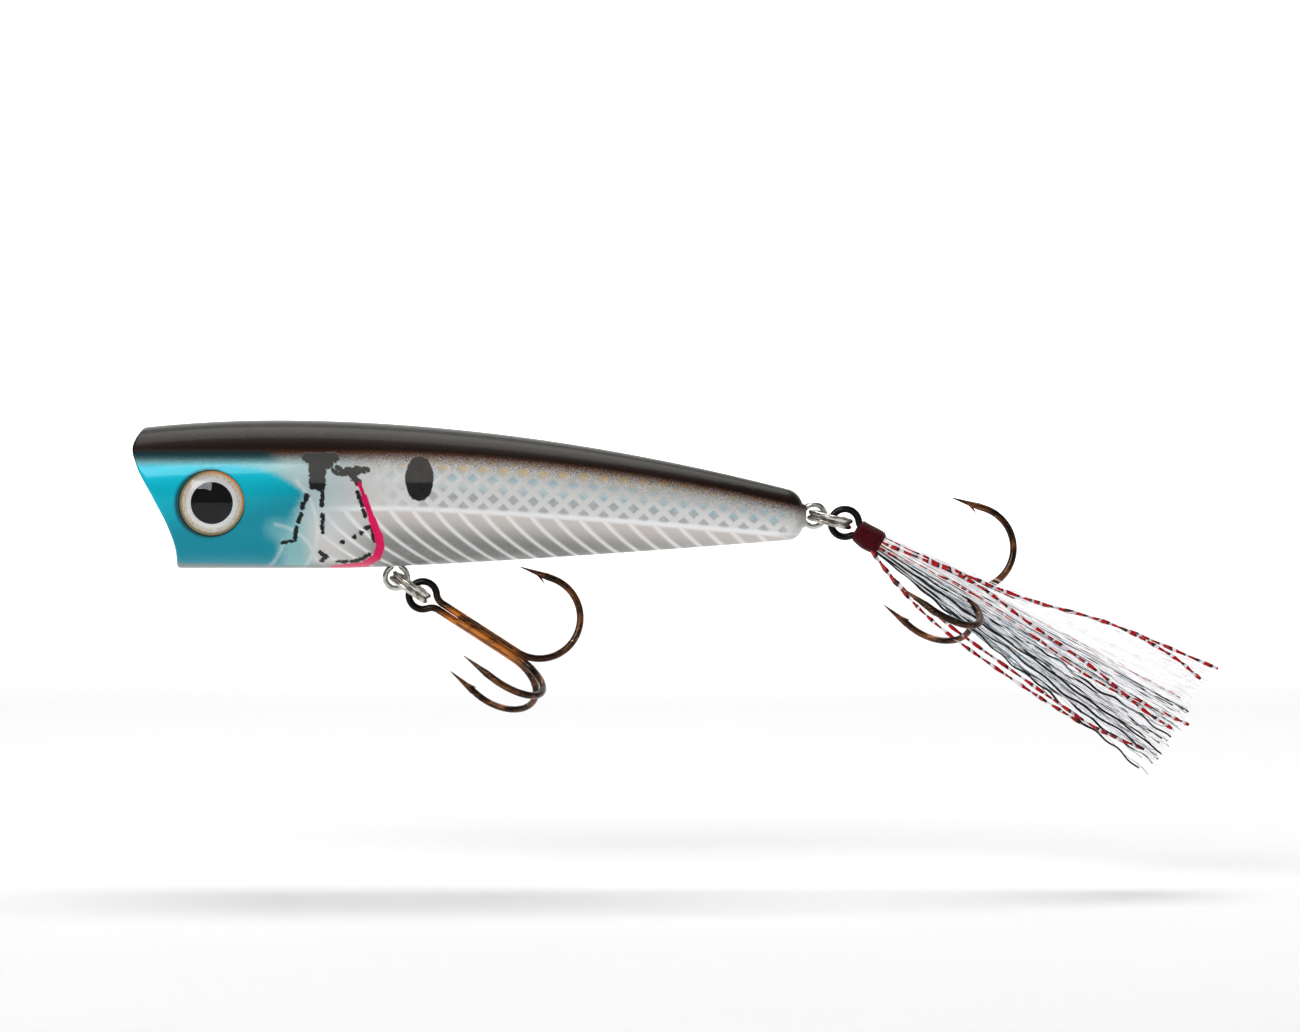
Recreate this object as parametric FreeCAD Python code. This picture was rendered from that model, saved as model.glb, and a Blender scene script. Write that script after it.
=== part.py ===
import FreeCAD
import Part
import os
from math import acos, atan2, cos, degrees, pi, radians, sin, sqrt, tan

# Topwater popper: a hollow two-piece plastic lure body with a cupped mouth, wire hangers,
# split rings, two treble hooks and a dressed tail.
#
# Millimetres. +X runs from the mouth to the tail, +Z is up, and the lure's left side faces -Y.
# The origin is the centre of the line tie's eye, in the middle of the mouth.

V = FreeCAD.Vector
X_AXIS, Y_AXIS, Z_AXIS = V(1, 0, 0), V(0, 1, 0), V(0, 0, 1)

# ---- Driving dimensions -------------------------------------------------------------------
# Body outline. Heights are measured from the line tie's level.
LIP_X = -4.85            # foremost point, the tip of the upper lip
TAIL_X = 74.3            # flat end of the body
BACK_PEAK_X = 12.3
BACK_PEAK = 9.45
BELLY = -8.05
WIDEST_X = 14.0
HALF_WIDTH = 7.4
SECTION_POWER = 2.25     # 2 is an ellipse, more is squarer
WALL = 1.3
TAIL_ROUND = 1.7
SOLID_TAIL_X = 67.0      # the cavity ends here, and the tail behind it is solid

# Mouth cup, an ellipsoid square to the mouth
CUP_CENTRE = V(-2.35, 0, -0.15)
CUP_TILT = 19.0
CUP_DEPTH, CUP_HALF_WIDTH, CUP_HALF_HEIGHT = 5.3, 6.15, 7.05
CUP_WALL = 1.2

# Eyes, set in round sockets on both sides
EYE_X, EYE_Z = 4.6, -0.05
EYE_SOCKET_R = 3.9
EYE_FLOOR_Y = 6.05
EYE_R = 3.8
FOIL_THICKNESS = 0.35
LENS_APEX_Y = 7.75

# Hanger wires, each a figure eight: an eye outside and a loop on a pin inside
HANGER_WIRE = 0.33       # radius
HANGER_EYE = 1.32        # radius of the wire's centre line
HANGER_LEG = 0.39        # half the distance between the two legs
HANGER_FILLET = 0.9
SLOT_HALF = 0.36
PIN_R, SOCKET_R, BOSS_R = 0.82, 0.86, 1.75
TIE_EYE = V(0, 0, 0)
BELLY_EYE = V(26.17, 0, -9.15)
TAIL_EYE = V(75.57, 0, -1.83)
TIE_REACH, BELLY_REACH, TAIL_REACH = 6.6, 4.8, 4.7

# Split rings: two turns of wire side by side
RING_R = 2.4
RING_WIRE = 0.325
RING_SLACK = 0.4         # the ring's wire lies this far past the middle of the hanger's eye
RING_LIFT = 0.335        # half the distance between the turns
RING_STEP = 22.0         # half the angle in which the wire steps across

# Treble hooks, in a frame with the eye at the origin and the shank along +X
HOOK_WIRE = 0.425
HOOK_EYE = 1.65
HOOK_LEG = 0.445
HOOK_FILLET = 1.5
HOOK_BEND = 4.9
HOOK_TURN = 193.0
HOOK_STRAIGHT = 0.9
HOOK_POINT = 3.3
POINT_OVERLAP, POINT_SWELL = 0.3, 0.015   # the forged point is a touch thicker where it leaves the wire
ARM_UP, ARM_NEAR, ARM_FAR = -11.4, 108.6, -131.4   # from up towards the left side
EYE_TO_HOOK = 3.8        # from a hanger's eye to the hook's eye
BRAZE_START, THIRD_SHANK_START = 5.1, 4.9

# Each hook's shank, and how far its ring and the hook point below the horizontal, in degrees
BELLY_SHANK, BELLY_RING_DROP, BELLY_HOOK_DROP = 13.0, 34.5, 33.0
TAIL_SHANK, TAIL_RING_DROP, TAIL_HOOK_DROP = 14.5, 13.5, 31.0

# Rattle cells and ballast, in the rear half of the cavity
BALL_R = 1.6
CELL_R = 1.75
CELL_WALL = 1.0
CELL_LENGTH = 7.0
CELL_START = 30.0
CELL_COUNT = 3
CELL_Z = -2.6
PLATE = 1.0
SLUG_R, SLUG_LENGTH, SLUG_X = 2.3, 7.6, 57.6
SLUG_Z = -1.4

# Tail dressing, in the tail hook's frame
WRAP_START, WRAP_LENGTH = 1.6, 3.3
WRAP_R = 1.32
WRAP_BULGE = 0.14
WRAP_FLARE = 0.06
DRESSING_LENGTH = 42.0
DRESSING_LIFT = -1.0     # degrees above the shank
ROOT_SHARE = 0.15        # the locks start this much smaller than they end
CRUMB = 0.05             # cubic millimetres, less than this isn't kept where the hooks cut the locks


# ---- Body outline -------------------------------------------------------------------------
def back_height(x):
    """Height of the back's ridge at x."""
    if x < BACK_PEAK_X:
        return BACK_PEAK - 0.85 * ((BACK_PEAK_X - x) / 16.0) ** 2
    return BACK_PEAK - 7.9 * ((x - BACK_PEAK_X) / 59.2) ** 1.9


def belly_height(x):
    """Height of the keel at x: level under the head, then rising."""
    return BELLY + 3.2 * (max(x - 20.0, 0.0) / 51.5) ** 1.28


def half_width(x):
    """Half of the body's width at x."""
    if x < WIDEST_X:
        return HALF_WIDTH - 0.45 * ((WIDEST_X - x) / 18.0) ** 2
    return HALF_WIDTH - 4.6 * ((x - WIDEST_X) / 57.5) ** 1.75


def section(x, inset):
    """Closed outline of the body at x, drawn in by inset."""
    top, bottom = back_height(x) - inset, belly_height(x) + inset
    middle, half_height = (top + bottom) / 2, (top - bottom) / 2
    width = half_width(x) - inset
    points = []
    for i in range(24):
        angle = 2 * pi * i / 24
        c, s = cos(angle), sin(angle)
        y = width * abs(c) ** (2 / SECTION_POWER) * (1 if c >= 0 else -1)
        z = middle + half_height * abs(s) ** (2 / SECTION_POWER) * (1 if s >= 0 else -1)
        points.append(V(x, y, z))
    curve = Part.BSplineCurve()
    curve.interpolate(Points=points, PeriodicFlag=True)
    return Part.Wire(curve.toShape())


def body_loft(inset, end):
    stations = [-7.0, 0.0, 8.0, 18.0, 28.0, 38.0, 48.0, 57.0]
    steps = 3 if end > 70 else 2
    stations += [57.0 + (end - 57.0) * (i + 1) / steps for i in range(steps)]
    return Part.makeLoft([section(x, inset) for x in stations], True, False)


def box(low, high):
    """Box between two opposite corners."""
    size = high - low
    return Part.makeBox(size.x, size.y, size.z, low)


def cylinder(start, end, radius):
    return Part.makeCylinder(radius, (end - start).Length, start, end - start)


def mouth_front(back_shift):
    """Everything ahead of the mouth's edge, as seen from the side."""
    edge = Part.BSplineCurve()
    edge.interpolate(Points=[V(x + back_shift, -12, z) for x, z in (
        (-2.0, 10.2), (-3.95, 8.4), (LIP_X, 6.9), (-4.45, 4.7), (-2.5, 0.9),
        (-0.62, -2.8), (0.3, -5.8), (0.1, -9.6))])
    top, bottom = edge.value(edge.FirstParameter), edge.value(edge.LastParameter)
    corners = [bottom, V(-14, -12, bottom.z), V(-14, -12, top.z), top]
    sides = [Part.makeLine(a, b) for a, b in zip(corners, corners[1:])]
    return Part.Face(Part.Wire([edge.toShape()] + sides)).extrude(V(0, 24, 0))


def cup(grow):
    """The mouth's hollow, or with grow the outside of the wall behind it."""
    ball = Part.makeSphere(1.0)
    place = FreeCAD.Matrix()
    place.scale(CUP_DEPTH + grow, CUP_HALF_WIDTH + grow, CUP_HALF_HEIGHT + grow)
    place.rotateY(radians(-CUP_TILT))
    place.move(CUP_CENTRE)
    return ball.transformGeometry(place)


# ---- Wire shapes --------------------------------------------------------------------------
def arc(centre, radius, start, end):
    """Arc in the XZ plane, angles in degrees from +X towards +Z."""
    def at(angle):
        return centre + V(radius * cos(radians(angle)), 0, radius * sin(radians(angle)))
    return Part.Arc(at(start), at((start + end) / 2), at(end)).toShape()


def sweep(edges, radius):
    """Round wire along edges that follow each other."""
    path = Part.Wire(edges)
    first = edges[0]
    start = path.OrderedVertexes[0].Point
    at_first = start.distanceToPoint(first.valueAt(first.FirstParameter)) < 1e-6
    tangent = first.tangentAt(first.FirstParameter if at_first else first.LastParameter)
    ring = Part.Wire(Part.Circle(start, tangent, radius).toShape())
    solid = path.makePipeShell([ring], True, False)
    return solid if solid.Volume > 0 else solid.reversed()


def neck(eye, leg, fillet):
    """Where an eye's wire turns into its straight leg: (start of the leg, angle on the eye)."""
    along = sqrt((eye + fillet) ** 2 - (leg + fillet) ** 2)
    return along, degrees(atan2(leg + fillet, along))


def hanger(reach):
    """Figure-eight wire: the outer eye at the origin, the inner loop at +X."""
    along, lean = neck(HANGER_EYE, HANGER_LEG, HANGER_FILLET)
    far = V(reach, 0, 0)
    butt = 4.0
    high, low = HANGER_LEG + HANGER_FILLET, -HANGER_LEG - HANGER_FILLET
    legs = [(V(along, 0, s * HANGER_LEG), V(reach - along, 0, s * HANGER_LEG)) for s in (1, -1)]
    edges = [
        arc(far, HANGER_EYE, butt, 180 - lean),
        arc(V(reach - along, 0, high), HANGER_FILLET, -lean, -90),
        Part.makeLine(legs[0][1], legs[0][0]),
        arc(V(along, 0, high), HANGER_FILLET, -90, -180 + lean),
        arc(V(0, 0, 0), HANGER_EYE, lean, 360 - lean),
        arc(V(along, 0, low), HANGER_FILLET, 180 - lean, 90),
        Part.makeLine(legs[1][0], legs[1][1]),
        arc(V(reach - along, 0, low), HANGER_FILLET, 90, lean),
        arc(far, HANGER_EYE, 180 + lean, 360 - butt),
    ]
    return sweep(edges, HANGER_WIRE)


def placed(shape, at, drop):
    """Copy of shape turned nose-down by drop degrees about Y, then moved to at."""
    copy = shape.copy()
    copy.rotate(V(0, 0, 0), Y_AXIS, drop)
    copy.translate(at)
    return copy


def fillet_arc(start, corner, end):
    """Arc that leaves start towards corner and arrives at end from corner."""
    middle = (start + end) / 2
    half_chord = (end - start).Length / 2
    half_turn = acos(half_chord / (corner - start).Length)
    crest = middle + (corner - middle) * (tan(half_turn / 2) / tan(half_turn))
    return Part.Arc(start, crest, end).toShape()


def joggle(start, start_way, end, end_way):
    """Two arcs that lead smoothly from one point and direction to another."""
    gap = end - start
    ways = start_way + end_way
    a, b, c = 2 * (1 - start_way.dot(end_way)), 2 * gap.dot(ways), -gap.dot(gap)
    reach = (sqrt(b * b - 4 * a * c) - b) / (2 * a)
    first, last = start + start_way * reach, end - end_way * reach
    meeting = (first + last) / 2
    return [fillet_arc(start, first, meeting), fillet_arc(meeting, last, end)]


def split_ring():
    """Two-turn ring about Z, centred on the origin. The wire steps across on its +Y side."""
    def at(angle, z):
        return V(RING_R * cos(radians(angle)), RING_R * sin(radians(angle)), z)

    def along(angle):
        return V(-sin(radians(angle)), cos(radians(angle)), 0)

    def turn(start, z):
        length = 360 - 2 * RING_STEP
        return Part.Arc(at(start, z), at(start + length / 2, z), at(start + length, z)).toShape()

    first, last = 90 + RING_STEP, 90 - RING_STEP
    step = joggle(at(last, -RING_LIFT), along(last), at(first, RING_LIFT), along(first))
    return sweep([turn(first, -RING_LIFT)] + step + [turn(first, RING_LIFT)], RING_WIRE)


# ---- Treble hook --------------------------------------------------------------------------
def arm(offset, angle, start_x, shank):
    """Edges of one hook arm from its shank to its point, with the point's place and direction."""
    out = V(0, -sin(radians(angle)), cos(radians(angle)))
    bend_start = V(shank, 0, 0) + offset
    centre = bend_start + out * HOOK_BEND

    def at(turned):
        a = radians(turned)
        return centre + X_AXIS * (HOOK_BEND * sin(a)) - out * (HOOK_BEND * cos(a))

    end = at(HOOK_TURN)
    a = radians(HOOK_TURN)
    ahead = X_AXIS * cos(a) + out * sin(a)
    edges = [
        Part.makeLine(V(start_x, 0, 0) + offset, bend_start),
        Part.Arc(bend_start, at(HOOK_TURN / 2), end).toShape(),
        Part.makeLine(end, end + ahead * HOOK_STRAIGHT),
    ]
    return edges, end + ahead * HOOK_STRAIGHT, ahead, out


def point_and_barb(root, ahead, out):
    """Tapered point with its barb cut from the inner side."""
    base = root - ahead * POINT_OVERLAP
    point = Part.makeCone(HOOK_WIRE + POINT_SWELL, 0.04, HOOK_POINT + POINT_OVERLAP, base, ahead)
    barb_root = root + ahead * 0.9 - out * 0.12
    barb_way = (ahead * -1.0) + (out * -0.62)
    barb = Part.makeCone(0.2, 0.03, 1.35, barb_root, barb_way)
    return [point, barb]


def double_hook(shank):
    """The eye and two of the arms, bent from one wire."""
    along, lean = neck(HOOK_EYE, HOOK_LEG, HOOK_FILLET)
    side = HOOK_LEG + HOOK_FILLET
    up, up_tip, up_ahead, up_out = arm(V(0, 0, HOOK_LEG), ARM_UP, along, shank)
    far, far_tip, far_ahead, far_out = arm(V(0, 0, -HOOK_LEG), ARM_FAR, along, shank)
    edges = list(reversed(up)) + [
        arc(V(along, 0, side), HOOK_FILLET, -90, -180 + lean),
        arc(V(0, 0, 0), HOOK_EYE, lean, 360 - lean),
        arc(V(along, 0, -side), HOOK_FILLET, 180 - lean, 90),
    ] + far
    wire = sweep(edges, HOOK_WIRE)
    ends = point_and_barb(up_tip, up_ahead, up_out) + point_and_barb(far_tip, far_ahead, far_out)
    return wire.fuse(ends)


def near_offset():
    """Where the third shank lies, in the groove of the other two."""
    return V(0, -sqrt(3) * HOOK_LEG, 0)


def single_hook(shank):
    """The third arm, a separate hook brazed in the groove of the other two shanks."""
    edges, tip, ahead, out = arm(near_offset(), ARM_NEAR, THIRD_SHANK_START, shank)
    return sweep(edges, HOOK_WIRE).fuse(point_and_barb(tip, ahead, out))


def braze(hooks, shank):
    """Filler run between the three shanks."""
    middle = V(0, near_offset().y / 3, 0)
    rod = cylinder(middle + V(BRAZE_START, 0, 0), middle + V(shank - 0.6, 0, 0), 0.7)
    return rod.cut(hooks)


# ---- Tail dressing ------------------------------------------------------------------------
def thread_wrap(hooks):
    """Barrel of wound thread round the shanks, just behind the tail hook's eye."""
    start, end = WRAP_START, WRAP_START + WRAP_LENGTH
    crown = Part.Arc(V(start, 0, WRAP_R), V((start + end) / 2, 0, WRAP_R + WRAP_BULGE),
                     V(end, 0, WRAP_R + WRAP_FLARE)).toShape()
    corners = [V(end, 0, WRAP_R + WRAP_FLARE), V(end, 0, 0), V(start, 0, 0), V(start, 0, WRAP_R)]
    sides = [Part.makeLine(a, b) for a, b in zip(corners, corners[1:])]
    barrel = Part.Face(Part.Wire([crown] + sides)).revolve(V(0, 0, 0), X_AXIS, 360)
    barrel.translate(V(0, near_offset().y / 4, 0))
    return barrel.cut(hooks)


def locks(places, hooks):
    """Locks of fibre that fan out from the wrap: (y, z, radius) at full length, and each one's share of it."""
    root_x = WRAP_START + WRAP_LENGTH
    wrap_side = box(V(-9, -9, -9), V(root_x, 9, 9))

    def centre(y, z, share):
        ahead = DRESSING_LENGTH * (share - ROOT_SHARE) / (1 - ROOT_SHARE)
        return V(root_x + ahead, y * share, z * share + ahead * tan(radians(DRESSING_LIFT)))

    made = []
    for y, z, radius, share in places:
        root, end = centre(y, z, ROOT_SHARE), centre(y, z, share)
        lock = Part.makeCone(radius * ROOT_SHARE, radius * share, (end - root).Length, root, end - root)
        lock = lock.cut(hooks + [wrap_side])
        made += [piece for piece in lock.Solids if piece.Volume > CRUMB]
    return Part.makeCompound(made)


WHITE_LOCKS = [(-2.4, 4.4, 2.1, 0.98), (2.4, 4.4, 2.1, 1.0), (0.0, 0.6, 1.7, 1.0)]
BLACK_LOCKS = [(-3.5, -0.6, 1.2, 0.97), (3.5, -0.6, 1.2, 1.0), (0.0, -3.0, 1.3, 1.01)]
PEARL_LOCKS = [(-2.9, -4.6, 1.2, 0.98), (2.9, -4.6, 1.2, 1.0), (0.0, -6.1, 1.2, 1.0)]
RED_LOCKS = [(0.0, 7.4, 0.6, 1.04), (-5.0, 2.2, 0.6, 0.98), (5.0, 2.2, 0.6, 0.99),
             (-1.6, -7.9, 0.6, 0.95), (1.7, -7.9, 0.6, 0.96)]


def dressing(hooks):
    """The wrap and the locks that it holds."""
    made = {"thread_wrap": thread_wrap(hooks)}
    for name, places in (("white_hackle", WHITE_LOCKS), ("black_flash", BLACK_LOCKS),
                         ("pearl_flash", PEARL_LOCKS), ("red_flash", RED_LOCKS)):
        made[name] = locks(places, hooks)
    return made


# ---- Inside the body ----------------------------------------------------------------------
def hanger_seats():
    """(pin centre, solid block round the hanger, slot for the wire) of each of the three hangers."""
    seats = []
    for eye, inward, reach in ((TIE_EYE, X_AXIS, TIE_REACH), (BELLY_EYE, Z_AXIS, BELLY_REACH),
                               (TAIL_EYE, X_AXIS * -1, TAIL_REACH)):
        pin = eye + inward * reach
        across = Y_AXIS.cross(inward)
        reach_in = HANGER_EYE + HANGER_WIRE + 0.1
        half = Y_AXIS * SLOT_HALF
        flat = across * (HANGER_LEG + HANGER_WIRE + 0.06)
        slot = cylinder(pin - half, pin + half, reach_in)
        slot = slot.fuse(cylinder(eye - half, eye + half, reach_in))
        corners = [eye - half - flat, pin + half + flat]
        low = V(*(min(c[k] for c in corners) for k in range(3)))
        high = V(*(max(c[k] for c in corners) for k in range(3)))
        slot = slot.fuse(box(low, high))
        thick = V(1.9, 1.9, 1.9)
        ends = [eye + inward * 1.7, pin + inward * 2.6]
        block_low = V(*(min(c[k] for c in ends) for k in range(3))) - thick - across * 0.6
        block_high = V(*(max(c[k] for c in ends) for k in range(3))) + thick + across * 0.6
        for k in range(3):
            if block_low[k] > block_high[k]:
                block_low[k], block_high[k] = block_high[k], block_low[k]
        seats.append((pin, box(block_low, block_high), slot))
    return seats


def plate(x):
    """Full bulkhead starting at x."""
    return box(V(x, -9, -10), V(x + PLATE, 9, 11))


def cell_start(i):
    return CELL_START + i * (CELL_LENGTH + PLATE)


def cells():
    """The rattle cells' hollows."""
    return [cylinder(V(cell_start(i), 0, CELL_Z), V(cell_start(i) + CELL_LENGTH, 0, CELL_Z), CELL_R)
            for i in range(CELL_COUNT)]


def body():
    """Both halves of the body: (left, right)."""
    outer = body_loft(0.0, TAIL_X)
    rim = [e for e in outer.Edges if abs(e.BoundBox.XMin - TAIL_X) < 0.01 and abs(e.BoundBox.XMax - TAIL_X) < 0.01]
    outer = outer.makeFillet(TAIL_ROUND, rim)
    collar = cylinder(V(TAIL_X - 1.0, 0, TAIL_EYE.z), V(TAIL_X + 0.45, 0, TAIL_EYE.z), 1.5)
    outer = outer.fuse(collar).cut([mouth_front(0.0), cup(0.0)])

    seats = hanger_seats()
    last = cell_start(CELL_COUNT)
    tube = cylinder(V(CELL_START - PLATE, 0, CELL_Z), V(last, 0, CELL_Z), CELL_R + CELL_WALL)
    cradle = cylinder(V(SLUG_X - PLATE, 0, SLUG_Z), V(SLUG_X + SLUG_LENGTH + PLATE, 0, SLUG_Z), SLUG_R + 0.9)
    plates = [plate(CELL_START - PLATE + i * (CELL_LENGTH + PLATE)) for i in range(CELL_COUNT + 1)]
    plates += [plate(SLUG_X - PLATE), plate(12.0)]
    sockets = [cylinder(V(EYE_X, s * (EYE_FLOOR_Y - 1.2), EYE_Z), V(EYE_X, s * 9, EYE_Z), EYE_SOCKET_R + 1.0)
               for s in (1, -1)]
    bosses = [cylinder(pin - Y_AXIS * 9, pin + Y_AXIS * 9, BOSS_R) for pin, _, _ in seats]
    blocks = [block for _, block, _ in seats]
    cavity = body_loft(WALL, SOLID_TAIL_X).cut([mouth_front(WALL), cup(CUP_WALL), tube, cradle]
                                               + plates + sockets + bosses + blocks)

    slug_room = cylinder(V(SLUG_X, 0, SLUG_Z), V(SLUG_X + SLUG_LENGTH + 0.1, 0, SLUG_Z), SLUG_R + 0.02)
    eye_pockets = [cylinder(V(EYE_X, s * EYE_FLOOR_Y, EYE_Z), V(EYE_X, s * 9, EYE_Z), EYE_SOCKET_R)
                   for s in (1, -1)]
    slots = [slot for _, _, slot in seats]
    whole = outer.cut([cavity, slug_room] + eye_pockets + slots + cells())

    left = whole.common(box(V(-20, -12, -14), V(90, 0, 14)))
    right = whole.common(box(V(-20, 0, -14), V(90, 12, 14)))
    pins = [cylinder(pin - Y_AXIS * (SLOT_HALF + 0.3), pin + Y_AXIS * 1.5, PIN_R) for pin, _, _ in seats]
    pin_rooms = [cylinder(pin, pin + Y_AXIS * 1.6, SOCKET_R) for pin, _, _ in seats]
    return left.fuse(pins), right.cut(pin_rooms)


def eye_parts(side):
    """Printed foil disc and clear domed lens of one eye."""
    def y(depth):
        return side * depth

    foil_front = EYE_FLOOR_Y + FOIL_THICKNESS
    foil = cylinder(V(EYE_X, y(EYE_FLOOR_Y), EYE_Z), V(EYE_X, y(foil_front), EYE_Z), EYE_R)
    skirt = 0.35
    rise = LENS_APEX_Y - foil_front - skirt
    sphere_r = (EYE_R ** 2 + rise ** 2) / (2 * rise)
    ball = Part.makeSphere(sphere_r, V(EYE_X, y(LENS_APEX_Y - sphere_r), EYE_Z))
    lens = cylinder(V(EYE_X, y(foil_front), EYE_Z), V(EYE_X, y(foil_front + 3), EYE_Z), EYE_R).common(ball)
    return foil, lens


def direction(drop):
    """Unit vector towards the tail, drop degrees below the horizontal."""
    return V(cos(radians(drop)), 0, -sin(radians(drop)))


def main():
    os.makedirs("parts", exist_ok=True)
    nodes = {}
    nodes["left_body_half"], nodes["right_body_half"] = body()
    nodes["left_eye_foil"], nodes["left_eye_lens"] = eye_parts(-1)
    nodes["right_eye_foil"], nodes["right_eye_lens"] = eye_parts(1)

    nodes["line_tie"] = placed(hanger(TIE_REACH), TIE_EYE, 0)
    nodes["belly_hook_hanger"] = placed(hanger(BELLY_REACH), BELLY_EYE, -90)
    nodes["tail_hook_hanger"] = placed(hanger(TAIL_REACH), TAIL_EYE, 180)

    for i in range(CELL_COUNT):
        at = V(cell_start(i) + BALL_R + 0.1, 0, CELL_Z - (CELL_R - BALL_R) + 0.03)
        nodes[f"rattle_ball_{i + 1}"] = Part.makeSphere(BALL_R, at)
    nodes["tail_ballast"] = cylinder(V(SLUG_X + 0.05, 0, SLUG_Z), V(SLUG_X + 0.05 + SLUG_LENGTH, 0, SLUG_Z), SLUG_R)

    ring = split_ring()
    for where, eye, shank, ring_drop, hook_drop in (
            ("belly", BELLY_EYE, BELLY_SHANK, BELLY_RING_DROP, BELLY_HOOK_DROP),
            ("tail", TAIL_EYE, TAIL_SHANK, TAIL_RING_DROP, TAIL_HOOK_DROP)):
        away = direction(ring_drop)
        hook_at = eye + away * EYE_TO_HOOK
        pair, third = double_hook(shank), single_hook(shank)
        hook = {"double_hook": pair, "single_hook": third, "hook_braze": braze([pair, third], shank)}
        if where == "tail":
            hook.update(dressing(list(hook.values())))
        nodes[f"{where}_split_ring"] = placed(ring, eye + away * (RING_R - RING_SLACK), ring_drop)
        for name, shape in hook.items():
            nodes[f"{where}_{name}"] = placed(shape, hook_at, hook_drop)

    for name, shape in nodes.items():
        if shape.ShapeType != "Solid":
            shape = shape.Solids[0] if len(shape.Solids) == 1 else Part.makeCompound(shape.Solids)
        box_ = shape.BoundBox
        print(f"{name:20s} solids {len(shape.Solids)} valid {shape.isValid()} volume {shape.Volume:9.3f} "
              f"x {box_.XMin:7.2f} {box_.XMax:7.2f} y {box_.YMin:6.2f} {box_.YMax:6.2f} "
              f"z {box_.ZMin:7.2f} {box_.ZMax:7.2f}")
        shape.exportStep(f"parts/{name}.step")


main()
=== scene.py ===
import math
import random

import bmesh
import bpy
import numpy as np
from mathutils import Matrix, Vector


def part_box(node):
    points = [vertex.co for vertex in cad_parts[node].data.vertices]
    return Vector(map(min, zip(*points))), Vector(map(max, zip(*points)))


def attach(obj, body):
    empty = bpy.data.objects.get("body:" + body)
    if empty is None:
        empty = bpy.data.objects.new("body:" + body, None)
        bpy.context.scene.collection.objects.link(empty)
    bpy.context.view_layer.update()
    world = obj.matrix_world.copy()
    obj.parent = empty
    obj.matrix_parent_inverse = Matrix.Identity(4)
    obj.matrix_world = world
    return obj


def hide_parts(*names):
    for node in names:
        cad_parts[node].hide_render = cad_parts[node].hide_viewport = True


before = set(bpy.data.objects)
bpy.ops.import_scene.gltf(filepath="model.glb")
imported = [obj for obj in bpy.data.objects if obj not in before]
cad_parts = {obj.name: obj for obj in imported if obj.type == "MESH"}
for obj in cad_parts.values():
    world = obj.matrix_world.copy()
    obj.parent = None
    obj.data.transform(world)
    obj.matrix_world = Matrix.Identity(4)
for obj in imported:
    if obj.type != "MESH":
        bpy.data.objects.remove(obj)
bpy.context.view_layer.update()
mm = 0.001


class Value:
    # one socket of a node tree, so that 1 - mask or x * 2 adds the Math node for it
    def __init__(self, tree, socket):
        self.tree, self.socket = tree, socket

    def work(self, operation, *items):
        maths = self.tree.nodes.new("ShaderNodeMath")
        maths.operation = operation
        for item, entry in zip(items, maths.inputs):
            plug(self.tree, entry, item)
        return Value(self.tree, maths.outputs[0])

    def __add__(self, other): return self.work("ADD", self, other)
    def __radd__(self, other): return self.work("ADD", other, self)
    def __sub__(self, other): return self.work("SUBTRACT", self, other)
    def __rsub__(self, other): return self.work("SUBTRACT", other, self)
    def __mul__(self, other): return self.work("MULTIPLY", self, other)
    def __rmul__(self, other): return self.work("MULTIPLY", other, self)
    def __truediv__(self, other): return self.work("DIVIDE", self, other)
    def __pow__(self, other): return self.work("POWER", self, other)
    def __abs__(self): return self.work("ABSOLUTE", self)

    def least(self, other): return self.work("MINIMUM", self, other)
    def most(self, other): return self.work("MAXIMUM", self, other)
    def root(self): return self.work("SQRT", self)
    def part(self): return self.work("FRACT", self)


# a colour given in everyday 0 to 255 steps
def tint(red, green, blue):
    return tuple(((c / 255 + 0.055) / 1.055) ** 2.4 if c > 10 else c / 255 / 12.92
                 for c in (red, green, blue))


def plug(tree, entry, item):
    if isinstance(item, Value):
        tree.links.new(item.socket, entry)
    else:
        entry.default_value = item


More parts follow.
